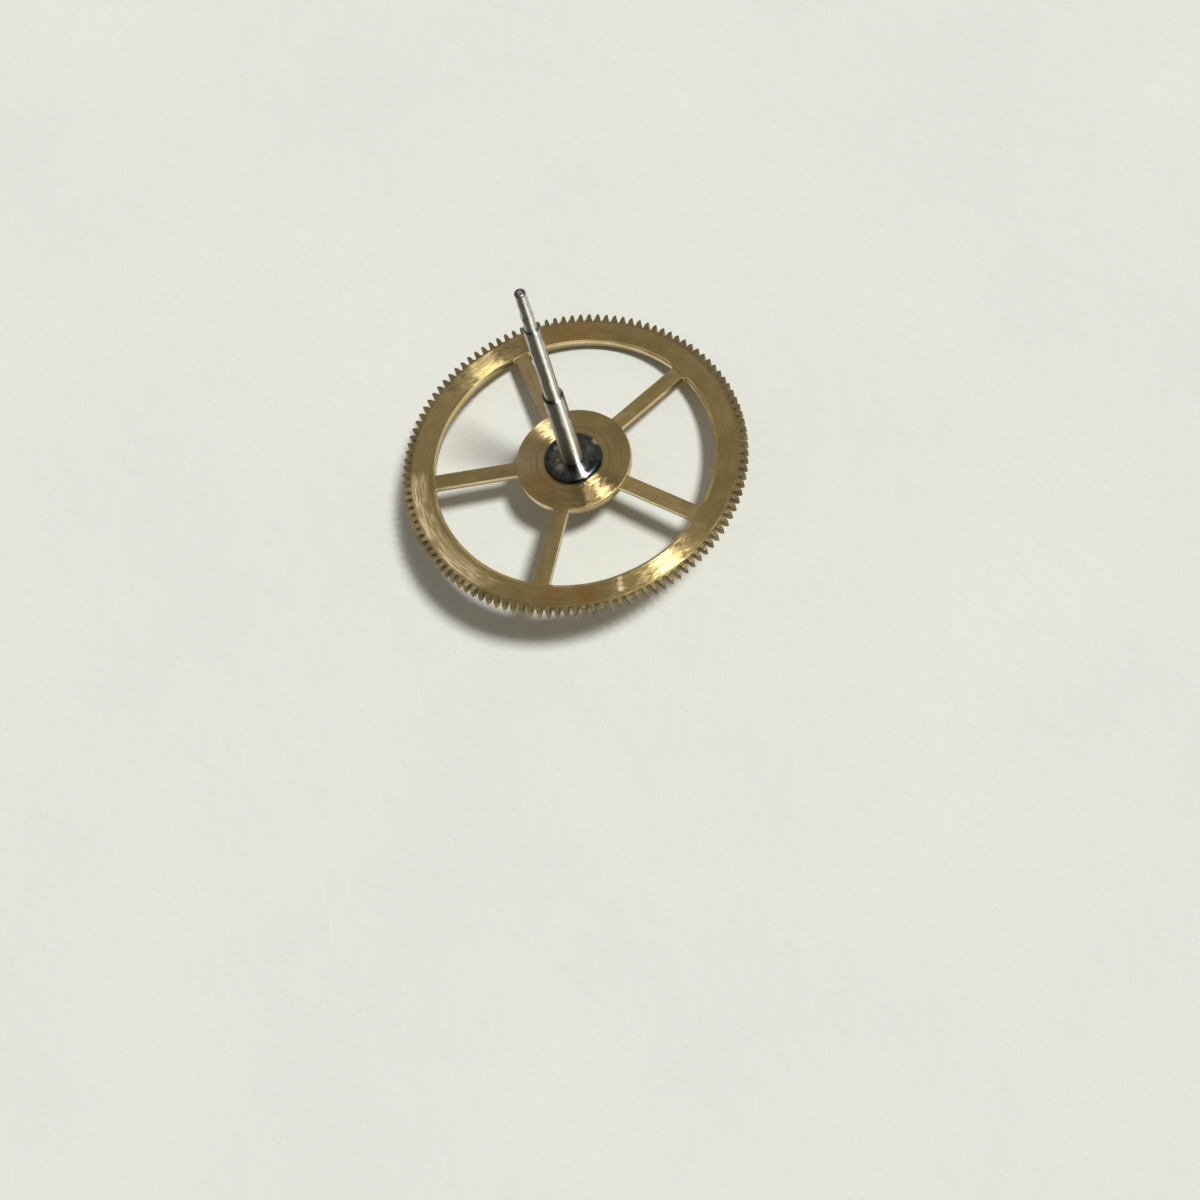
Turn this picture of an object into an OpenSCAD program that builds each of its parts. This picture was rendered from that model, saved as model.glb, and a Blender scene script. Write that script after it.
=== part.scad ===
// Sweep second wheel of a watch: a toothed brass wheel, riveted to a steel pinion that is
// pressed on a long steel staff. All sizes are in millimetres. The staff stands along +Z
// with its hand end up, and the end of its lower pivot is at the origin. One arm of the
// wheel lies along +X.

/* [Wheel] */
// Pitch diameter of the wheel
wheel_pitch_d = 9.6; // [8.8:0.1:10.4]
// Number of teeth on the wheel
wheel_teeth = 120; // [100:5:140]
// Height of a tooth above the pitch circle, in modules
wheel_addendum = 1.7; // [1.3:0.05:1.8]
// Depth of a tooth below the pitch circle, in modules
wheel_dedendum = 1.5; // [1.3:0.05:1.7]
// Thickness of the rim and of the hub
plate_t = 0.26; // [0.22:0.01:0.36]
// Width of the rim, from its inner edge to the roots of the teeth
rim_w = 0.68; // [0.5:0.01:0.9]
// Chamfer on the inner edges of the rim
rim_chamfer = 0.07; // [0.01:0.005:0.08]
// Diameter of the hub
hub_d = 3.28; // [2.8:0.02:3.8]
// Chamfer on the edges of the hub
hub_chamfer = 0.025; // [0.01:0.005:0.05]
// Number of arms
arm_count = 5; // [4:1:6]
// Width of an arm
arm_w = 0.44; // [0.36:0.01:0.54]
// Depth of an arm's faces below those of the rim and the hub
arm_recess = 0.03; // [0.01:0.005:0.06]
// Radius of the corners where the arms meet the rim and the hub
corner_r = 0.05; // [0.03:0.01:0.16]

/* [Pinion] */
// Pitch diameter of the pinion
pinion_pitch_d = 1.56; // [1.52:0.02:1.7]
// Number of leaves on the pinion
pinion_leaves = 12; // [10:1:14]
// Height of a leaf above the pitch circle, in modules
pinion_addendum = 0.85; // [0.7:0.05:1]
// Depth of a leaf below the pitch circle, in modules
pinion_dedendum = 1.3; // [1.1:0.05:1.4]
// Length of the leaves
leaf_len = 0.9; // [0.7:0.05:1.2]
// Bevel on the lower ends of the leaves
leaf_bevel = 0.05; // [0.02:0.01:0.08]
// Diameter of the seat that the wheel is riveted on
seat_d = 1.2; // [1.1:0.02:1.36]
// Diameter of the rivet head above the wheel
head_d = 1.66; // [1.48:0.02:1.8]
// Height of the rivet head above the wheel
head_h = 0.16; // [0.12:0.01:0.22]
// Width of the rounding round the rivet head
head_round_w = 0.23; // [0.1:0.01:0.25]
// Height of the rounding round the rivet head
head_round_h = 0.11; // [0.05:0.01:0.12]

/* [Staff] */
// Diameter of the arbor in the pinion
arbor_d = 0.6; // [0.54:0.01:0.68]
// Length of the arbor above the wheel, to its shoulder
arbor_len = 3.3; // [2.5:0.1:4.5]
// How much thinner the arbor is at its shoulder than in the pinion, which slides on over it
arbor_taper = 0.012; // [0.004:0.002:0.03]
// Length of the arbor below the pinion
arbor_foot_len = 0.06; // [0.04:0.01:0.12]
// Chamfer on the shoulders of the staff
shoulder_chamfer = 0.02; // [0.01:0.005:0.03]
// Diameter of the journal that runs in the hollow centre pinion
journal_d = 0.44; // [0.4:0.01:0.5]
// Length of the journal
journal_len = 3.15; // [2.5:0.05:4]
// Diameter of the neck above the journal, in its middle
neck_d = 0.32; // [0.3:0.005:0.34]
// Length of the neck
neck_len = 0.42; // [0.3:0.02:0.6]
// How far the neck is hollowed between its ends
neck_hollow = 0.005; // [0.002:0.001:0.008]
// Diameter of the bead that stops the hand
stop_d = 0.36; // [0.35:0.005:0.4]
// Length of the bead that stops the hand
stop_len = 0.26; // [0.2:0.01:0.36]
// Diameter of the seat for the hand
hand_seat_d = 0.315; // [0.29:0.005:0.33]
// Length of the seat for the hand
hand_seat_len = 0.32; // [0.24:0.02:0.6]
// Length of the tip above the seat, which leads the hand on
tip_len = 0.55; // [0.4:0.05:0.8]
// How much thinner the tip is at its end than at the seat
tip_taper = 0.015; // [0.01:0.005:0.05]
// Height of the rounded end of the tip
end_round_h = 0.06; // [0.03:0.01:0.09]
// Diameter of the lower pivot
pivot_d = 0.18; // [0.14:0.01:0.24]
// Length of the lower pivot
pivot_len = 0.38; // [0.3:0.01:0.5]

/* [Hidden] */

brass = [0.52, 0.44, 0.28];
dark_steel = [0.33, 0.34, 0.35];
bright_steel = [0.72, 0.72, 0.70];

$fn = 96;

// Thickness of a wheel tooth and of a pinion leaf at the pitch circle, as a share of the pitch
wheel_tooth_share = 0.5;
leaf_share = 0.42;
// Half the flat left on the tip of a wheel tooth and of a leaf, in modules
tooth_land = 0.15;
leaf_land = 0.15;
// Straight steps along each curved side of a tooth and of a leaf, and down each side of the
// round bottom of a gap
tooth_steps = 4;
leaf_steps = 6;
gap_steps = 3;
// Straight steps round each corner of an arm
corner_steps = 5;
// Steps along the curved outlines of the rivet head and the staff
round_steps = 6;
neck_steps = 4;
bead_steps = 9;
// How far pieces of one solid run into each other
sink = 0.1;

wheel_module = wheel_pitch_d / wheel_teeth;
pinion_module = pinion_pitch_d / pinion_leaves;

// Heights, from the end of the lower pivot
arbor_z = pivot_len;
leaf_z = arbor_z + arbor_foot_len;
plate_z = leaf_z + leaf_len;
face_z = plate_z + plate_t;
head_z = face_z + head_h;
shoulder_z = face_z + arbor_len;
neck_z = shoulder_z + journal_len;
stop_z = neck_z + neck_len;
hand_z = stop_z + stop_len;
tip_z = hand_z + hand_seat_len;
top_z = tip_z + tip_len;

// Radii of the wheel
root_r = wheel_pitch_d / 2 - wheel_dedendum * wheel_module;
rim_r = root_r - rim_w;
hub_r = hub_d / 2;

// Half the thickness of a tooth at a height above the pitch circle, where its side is an arc
// that starts square to the circle and meets the other side at the full height
function ogive(half, height, h) =
    let (arc_r = (height * height + half * half) / (2 * half))
    half - arc_r + sqrt(arc_r * arc_r - h * h);

// Height at which the ogive's half thickness has come down to a given land
function ogive_height(half, height, land) =
    let (arc_r = (height * height + half * half) / (2 * half))
    sqrt(arc_r * arc_r - pow(land - half + arc_r, 2));

// One side of a tooth, as pairs of a radius and an angle from the tooth's middle. It starts at
// the bottom of the gap, which is one arc that touches both flanks, follows the flank, which
// points to the axis, and ends with the ogive.
function half_tooth(teeth, pitch_r, add, ded, share, land, steps) =
    let (
        module_ = 2 * pitch_r / teeth,
        half = PI * module_ * share / 2,
        gap_a = 180 / teeth - half / pitch_r * 180 / PI,
        gap_centre = (pitch_r - ded * module_) / (1 - sin(gap_a)),
        gap_r = gap_centre * sin(gap_a),
        tip_h = ogive_height(half, add * module_, land * module_)
    )
    concat(
        [for (i = [0:gap_steps])
            let (
                a = 180 - (90 - gap_a) * i / gap_steps,
                x = gap_centre + gap_r * cos(a),
                y = gap_r * sin(a)
            )
            [norm([x, y]), 180 / teeth - atan2(y, x)]],
        [for (i = [0:steps])
            let (h = tip_h * i / steps, r = pitch_r + h)
            [r, ogive(half, add * module_, h) / r * 180 / PI]]
    );

// A point at a radius and an angle
function polar(r, a) = r * [cos(a), sin(a)];

// The outline of a toothed wheel with a tooth along +X
function gear_points(teeth, side) =
    [for (k = [0:teeth - 1])
        let (turn = k * 360 / teeth, n = len(side))
        for (i = [0:2 * n - 2])
            i < n ? polar(side[i][0], turn - side[i][1])
                  : polar(side[2 * n - 1 - i][0], turn + side[2 * n - 1 - i][1])];

// A flat ring turned on a lathe, with its inner and outer edges chamfered on both faces
module turned_ring(inner_r, outer_r, z, t, inner_c, outer_c) {
    translate([0, 0, z])
        rotate_extrude()
            polygon([
                [inner_r + inner_c, 0],
                [outer_r - outer_c, 0],
                [outer_r, outer_c],
                [outer_r, t - outer_c],
                [outer_r - outer_c, t],
                [inner_r + inner_c, t],
                [inner_r, t - inner_c],
                [inner_r, inner_c]
            ]);
}

// Points along an arc
function arc(centre, r, from, to, steps) =
    [for (i = [0:steps]) centre + polar(r, from + (to - from) * i / steps)];

// The left edge of an arm along +X: out of the hub, round its corner, along the arm, and
// round the other corner into the rim
function arm_edge() =
    let (
        cy = arm_w / 2 + corner_r,
        hub_centre = [sqrt(pow(hub_r + corner_r, 2) - cy * cy), cy],
        rim_centre = [sqrt(pow(rim_r - corner_r, 2) - cy * cy), cy],
        hub_a = atan2(cy, hub_centre[0]),
        rim_a = atan2(cy, rim_centre[0])
    )
    concat(
        [polar(hub_r - sink, hub_a)],
        arc(hub_centre, corner_r, 180 + hub_a, 270, corner_steps),
        arc(rim_centre, corner_r, 270, 360 + rim_a, corner_steps),
        [polar(rim_r + sink, rim_a)]
    );

// One arm along +X, with its four rounded corners
module arm() {
    edge = arm_edge();
    n = len(edge);
    polygon(concat(edge, [for (i = [1:n]) [edge[n - i][0], -edge[n - i][1]]]));
}

// The toothed edge of the wheel, with a gap between two teeth over each arm
module toothed_edge() {
    side = half_tooth(wheel_teeth, wheel_pitch_d / 2, wheel_addendum, wheel_dedendum,
                      wheel_tooth_share, tooth_land, tooth_steps);
    translate([0, 0, plate_z])
        linear_extrude(plate_t)
            rotate(180 / wheel_teeth)
                difference() {
                    polygon(gear_points(wheel_teeth, side));
                    circle(root_r - 2 * sink);
                }
}

// The brass wheel
module second_wheel() {
    color(brass) {
        toothed_edge();
        turned_ring(rim_r, root_r - sink, plate_z, plate_t, rim_chamfer, 0);
        turned_ring(seat_d / 2, hub_r, plate_z, plate_t, 0, hub_chamfer);
        translate([0, 0, plate_z + arm_recess])
            linear_extrude(plate_t - 2 * arm_recess)
                for (k = [0:arm_count - 1])
                    rotate(k * 360 / arm_count)
                        arm();
    }
}

// The leaves of the pinion, beveled at their lower ends
module leaves() {
    side = half_tooth(pinion_leaves, pinion_pitch_d / 2, pinion_addendum, pinion_dedendum,
                      leaf_share, leaf_land, leaf_steps);
    leaf_r = pinion_pitch_d / 2 + pinion_addendum * pinion_module;
    intersection() {
        linear_extrude(leaf_len)
            polygon(gear_points(pinion_leaves, side));
        cylinder(h = leaf_len, r1 = leaf_r - leaf_bevel, r2 = leaf_r - leaf_bevel + leaf_len);
    }
}

// The rivet head, spread over the wheel's hub and polished round
module rivet_head() {
    head_r = head_d / 2;
    wall_h = head_h - head_round_h;
    rotate_extrude()
        polygon(concat(
            [[0, 0], [head_r, 0]],
            [for (i = [0:round_steps])
                let (a = 90 * i / round_steps)
                [head_r - head_round_w * (1 - cos(a)), wall_h + head_round_h * sin(a)]],
            [[0, head_h]]
        ));
}

// The steel pinion: leaves below the wheel, the seat through it and the rivet head on top
module pinion() {
    color(dark_steel)
        difference() {
            union() {
                translate([0, 0, leaf_z])
                    leaves();
                translate([0, 0, plate_z - sink])
                    cylinder(h = plate_t + sink, d = seat_d);
                translate([0, 0, face_z])
                    rivet_head();
            }
            translate([0, 0, leaf_z - sink])
                cylinder(h = head_z - leaf_z + 2 * sink, d = arbor_d);
        }
}

// The outline of the neck, hollowed between its ends
function neck_points() =
    [for (i = [0:neck_steps])
        let (t = i / neck_steps)
        [neck_d / 2 + neck_hollow * pow(2 * t - 1, 2), neck_z + neck_len * t]];

// The outline of the bead, which swells between the neck and the seat for the hand
function bead_points() =
    let (
        from_r = neck_d / 2 + neck_hollow,
        to_r = hand_seat_d / 2,
        swell = (stop_d - from_r - to_r) / 2
    )
    [for (i = [1:bead_steps])
        let (t = i / bead_steps)
        [from_r + (to_r - from_r) * t + swell * sin(180 * t), stop_z + stop_len * t]];

// The outline of the rounded end of the tip
function end_points() =
    let (end_r = (hand_seat_d - tip_taper) / 2)
    [for (i = [0:round_steps])
        let (a = 90 * i / round_steps)
        [end_r * cos(a), top_z - end_round_h * (1 - sin(a))]];

// The steel staff, turned in one piece from its lower pivot to the tip above the hand
module staff() {
    pivot_r = pivot_d / 2;
    arbor_r = arbor_d / 2;
    arbor_top_r = (arbor_d - arbor_taper) / 2;
    journal_r = journal_d / 2;
    c = shoulder_chamfer;
    color(bright_steel)
        rotate_extrude()
            polygon(concat(
                [
                    [0, 0],
                    [pivot_r - c, 0],
                    [pivot_r, c],
                    [pivot_r, arbor_z],
                    [arbor_r - c, arbor_z],
                    [arbor_r, arbor_z + c],
                    [arbor_r, head_z],
                    [arbor_top_r, shoulder_z - c],
                    [arbor_top_r - c, shoulder_z],
                    [journal_r, shoulder_z],
                    [journal_r, neck_z - c],
                    [journal_r - c, neck_z]
                ],
                neck_points(),
                bead_points(),
                [[hand_seat_d / 2, tip_z]],
                end_points()
            ));
}

second_wheel();
pinion();
staff();
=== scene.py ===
"""Looks of the sweep second wheel: a turned brass wheel, its dark steel pinion and the long
polished staff, lying on paper. Lengths are in millimetres until a piece is made."""

import math

import bmesh
import bpy
from mathutils import Matrix, Vector, noise


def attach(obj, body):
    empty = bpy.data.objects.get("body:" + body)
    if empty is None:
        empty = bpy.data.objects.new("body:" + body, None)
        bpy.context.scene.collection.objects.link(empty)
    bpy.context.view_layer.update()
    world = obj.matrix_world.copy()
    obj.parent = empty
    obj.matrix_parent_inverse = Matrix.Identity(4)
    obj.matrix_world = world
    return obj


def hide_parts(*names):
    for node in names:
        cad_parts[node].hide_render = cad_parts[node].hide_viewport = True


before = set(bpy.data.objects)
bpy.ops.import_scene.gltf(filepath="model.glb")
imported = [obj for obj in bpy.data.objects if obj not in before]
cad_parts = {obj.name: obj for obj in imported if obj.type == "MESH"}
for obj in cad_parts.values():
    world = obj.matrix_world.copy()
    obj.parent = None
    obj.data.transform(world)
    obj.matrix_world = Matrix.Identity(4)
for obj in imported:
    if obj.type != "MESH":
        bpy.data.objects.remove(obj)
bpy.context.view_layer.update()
MM = 0.001
TAU = 2 * math.pi

# The wheel
TEETH = 120
PITCH_R = 4.8
MODULE = 2 * PITCH_R / TEETH
ADDENDUM = 1.7
DEDENDUM = 1.5
TOOTH_SHARE = 0.5
TOOTH_LAND = 0.15
TOOTH_STEPS = 6
GAP_STEPS = 5
ROOT_R = PITCH_R - DEDENDUM * MODULE
RIM_W = 0.68
RIM_R = ROOT_R - RIM_W
ROOT_BAND_W = 0.06
HUB_R = 1.64
SEAT_R = 0.6
SEAT_SEGMENTS = 120
PLATE_Z = 1.34
HALF_T = 0.13
MID_Z = PLATE_Z + HALF_T
FACE_Z = PLATE_Z + 2 * HALF_T

# The rounded edges of the rim and the hub, which turn finer towards the ends of the arms.
# That of the rim was broken by hand: it is uneven, and sharper on one side
EDGE_STEPS = 4
RIM_EDGE_W = 0.1
RIM_EDGE_D = 0.06
RIM_EDGE_BLEND = 0.03
UNEVEN_LEAST = 0.7
UNEVEN_SCALE = 3.0
UNEVEN_GAIN = 1.6
UNEVEN_SEED = 4.2
EDGE_SHARP_AT = math.radians(158)
EDGE_SHARP_BY = 0.7
EDGE_SHARP_GAIN = 1.6
EDGE_SHARP_LESS = 0.3
HUB_EDGE = 0.025
HUB_EDGE_BLEND = 0.06
ARM_END_BREAK = 0.012

# The arms
ARMS = 5
ARM_W = 0.44
ARM_RECESS = 0.03
ARM_HALF_T = HALF_T - ARM_RECESS
ARM_BREAK = 0.01
ARM_BREAK_BLEND = 1.5
CORNER_R = 0.05
CORNER_STEPS = 8
RIM_ARM_STEPS = 14
RIM_WINDOW_STEPS = 130
HUB_ARM_STEPS = 12
HUB_WINDOW_STEPS = 60

# The pinion
LEAVES = 12
LEAF_PITCH_R = 0.78
LEAF_MODULE = 2 * LEAF_PITCH_R / LEAVES
LEAF_ADDENDUM = 0.85
LEAF_DEDENDUM = 1.3
LEAF_SHARE = 0.42
LEAF_LAND = 0.15
LEAF_STEPS = 10
LEAF_GAP_STEPS = 6
LEAF_R = LEAF_PITCH_R + LEAF_ADDENDUM * LEAF_MODULE
LEAF_CORE_BAND_W = 0.004
LEAF_CORE_R = LEAF_PITCH_R - LEAF_DEDENDUM * LEAF_MODULE - LEAF_CORE_BAND_W
LEAF_Z = 0.44
LEAF_BEVEL = 0.05
BEVEL_STEPS = 4
PINION_SEGMENTS = 144
HEAD_R = 0.83
HEAD_H = 0.16
HEAD_ROUND_W = 0.23
HEAD_ROUND_H = 0.11
HEAD_ROUND_STEPS = 12
HEAD_FLAT_R = 0.45
HEAD_Z = FACE_Z + HEAD_H
HEAD_UNEVEN = 0.012
HEAD_UNEVEN_R = 0.55
HEAD_UNEVEN_BLEND = 0.1
HEAD_UNEVEN_SCALE = 5
HEAD_UNEVEN_SEED = 1.7

# The staff
STAFF_SEGMENTS = 128
ARBOR_R = 0.3
ARBOR_TOP_R = 0.294
ARBOR_Z = 0.38
SHOULDER_Z = 4.9
JOURNAL_R = 0.22
NECK_Z = 8.05
NECK_R = 0.16
NECK_HOLLOW = 0.005
NECK_STEPS = 8
STOP_Z = 8.47
STOP_R = 0.18
STOP_STEPS = 16
HAND_Z = 8.73
HAND_R = 0.1575
TIP_Z = 9.05
TIP_R = 0.15
TOP_Z = 9.6
END_ROUND_H = 0.06
END_STEPS = 10
PIVOT_R = 0.09
BREAK = 0.02
BREAK_MID = BREAK * 0.3


# Meshes

SHARP_EDGE = math.radians(28)
SAME_POINT_DIGITS = 5
SAME_POINT = 1e-4 * MM
TINY = 1e-9


class Shell:
    """A closed surface, gathered face by face from points, which are joined where they meet."""

    def __init__(self):
        self.points = []
        self.index = {}
        self.faces = []
        self.kinds = []

    def at(self, point):
        """The number of a point, which is the same for all points in one place."""
        key = tuple(round(c, SAME_POINT_DIGITS) for c in point)
        if key not in self.index:
            self.index[key] = len(self.points)
            self.points.append(point)
        return self.index[key]

    def face(self, points, kind=0):
        """One face, of the material with the number kind."""
        ids = []
        for point in points:
            i = self.at(point)
            if i not in ids:
                ids.append(i)
        if len(ids) > 2:
            self.faces.append(ids)
            self.kinds.append(kind)

    def strip(self, a, b, kind=0, closed=True):
        """Quads between two rows of the same number of points."""
        n = len(a)
        for i in range(n if closed else n - 1):
            j = (i + 1) % n
            self.face([a[i], a[j], b[j], b[i]], kind)

    def ring(self, a, b, kind=0):
        """Triangles between two rows round the axis with different numbers of points."""
        a = sorted({self.at(p): p for p in a}.values(), key=turn_of)
        b = sorted(b, key=turn_of)
        i = j = 0
        while i < len(a) or j < len(b):
            next_a = turn_of(a[(i + 1) % len(a)]) + TAU * ((i + 1) // len(a))
            next_b = turn_of(b[(j + 1) % len(b)]) + TAU * ((j + 1) // len(b))
            p = a[i % len(a)]
            q = b[j % len(b)]
            if j == len(b) or (i < len(a) and next_a <= next_b):
                self.face([p, a[(i + 1) % len(a)], q], kind)
                i += 1
            else:
                self.face([p, b[(j + 1) % len(b)], q], kind)
                j += 1

    def turned(self, profile, segments, wobble=None):
        """The surface of a lathe profile of radii and heights."""
        rows = []
        for r, z in profile:
            row = []
            for i in range(segments):
                a = TAU * i / segments
                k = wobble(r, z, a) if wobble else 1
                row.append(polar(r * k, a, z))
            rows.append(row)
        for a, b in zip(rows, rows[1:]):
            self.strip(a, b)

    def make(self, name, materials):
        """The piece in Blender, smooth apart from its sharp edges."""
        mesh = bpy.data.meshes.new(name)
        piece = bpy.data.objects.new(name, mesh)
        bpy.context.scene.collection.objects.link(piece)
        for material in materials:
            mesh.materials.append(material)
        bm = bmesh.new()
        verts = [bm.verts.new(Vector(p) * MM) for p in self.points]
        for ids, kind in zip(self.faces, self.kinds):
            face = bm.faces.new([verts[i] for i in ids])
            face.material_index = kind
            face.smooth = True
        bmesh.ops.remove_doubles(bm, verts=bm.verts, dist=SAME_POINT)
        bmesh.ops.recalc_face_normals(bm, faces=bm.faces)
        for edge in bm.edges:
            edge.smooth = edge.is_manifold and edge.calc_face_angle() < SHARP_EDGE
        open_edges = sum(not e.is_manifold for e in bm.edges)
        print(name, len(bm.faces), "faces,", open_edges, "open edges")
        bm.to_mesh(mesh)
        bm.free()
        return piece


def polar(r, a, z):
    """The point at a radius, an angle and a height."""
    return (r * math.cos(a), r * math.sin(a), z)


def circle(r, z, segments):
    """Evenly spaced points round the axis."""
    return [polar(r, TAU * i / segments, z) for i in range(segments)]


def turn_of(point):
    """A point's angle about the axis, from 0 to a full turn."""
    a = math.atan2(point[1], point[0])
    return a + TAU if a < -TINY else max(a, 0.0)


def smooth(t):
    """0 to 1 without a corner at either end."""
    t = min(1.0, max(0.0, t))
    return t * t * (3 - 2 * t)


def half_tooth(teeth, pitch_r, add, ded, share, land, steps, gap_steps):
    """One side of a tooth, as radii and angles from its middle: the round gap, the flank that
    points to the axis, and the ogive."""
    module = 2 * pitch_r / teeth
    half = math.pi * module * share / 2
    gap_a = math.pi / teeth - half / pitch_r
    centre = (pitch_r - ded * module) / (1 - math.sin(gap_a))
    gap_r = centre * math.sin(gap_a)
    arc_r = ((add * module) ** 2 + half**2) / (2 * half)
    tip_h = math.sqrt(arc_r**2 - (land * module - half + arc_r) ** 2)
    side = []
    for i in range(gap_steps + 1):
        a = math.pi - (math.pi / 2 - gap_a) * i / gap_steps
        x = centre + gap_r * math.cos(a)
        y = gap_r * math.sin(a)
        side.append((math.hypot(x, y), math.pi / teeth - math.atan2(y, x)))
    for i in range(steps + 1):
        h = tip_h * i / steps
        wide = half - arc_r + math.sqrt(arc_r**2 - h**2)
        side.append((pitch_r + h, wide / (pitch_r + h)))
    return side


def gear_row(teeth, side, turn=0.0):
    """The outline of a toothed wheel, as radii and angles."""
    row = []
    n = len(side)
    for k in range(teeth):
        middle = turn + TAU * k / teeth
        row += [(r, middle - a) for r, a in side]
        row += [(r, middle + a) for r, a in side[n - 1:0:-1]]
    return row


def circle_turns(half_a, arm_steps, window_steps):
    """Angles round a circle that the arms meet over half_a on each side of their middles:
    pairs of an angle and how far it lies inside a window, or a negative value at an arm."""
    pitch = TAU / ARMS
    turns = []
    for k in range(ARMS):
        for i in range(arm_steps):
            a = -half_a + 2 * half_a * i / arm_steps
            turns.append((k * pitch + a, -1.0 if i else 0.0))
        for i in range(window_steps):
            a = half_a + (pitch - 2 * half_a) * i / window_steps
            turns.append((k * pitch + a, min(a - half_a, pitch - half_a - a)))
    return turns


def hand_made(a):
    """A slow uneven factor round the wheel, of at most 1."""
    n = noise.noise(Vector((math.cos(a) * UNEVEN_SCALE, math.sin(a) * UNEVEN_SCALE, UNEVEN_SEED)))
    return 1 - (1 - UNEVEN_LEAST) * (0.5 - 0.5 * max(-1.0, min(1.0, UNEVEN_GAIN * n)))


def rim_edge(a, depth):
    """How wide and how deep the rounded edge of the rim is, at an angle and a distance from
    the nearest arm."""
    sharper = smooth(EDGE_SHARP_GAIN * math.cos(a - EDGE_SHARP_AT) - EDGE_SHARP_LESS)
    k = hand_made(a) * (1 - EDGE_SHARP_BY * sharper)
    t = smooth(depth / RIM_EDGE_BLEND)
    w = ARM_END_BREAK + (RIM_EDGE_W * k - ARM_END_BREAK) * t
    return w, ARM_END_BREAK + (RIM_EDGE_D * k - ARM_END_BREAK) * t


def hub_edge(a, depth):
    """The same for the hub, whose edge is even."""
    w = ARM_END_BREAK + (HUB_EDGE - ARM_END_BREAK) * smooth(depth / HUB_EDGE_BLEND)
    return w, w


# The wheel's materials, in the order in which its piece is given them
FACED, WALL, EDGE, ARM, TOOTH = range(5)


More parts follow.
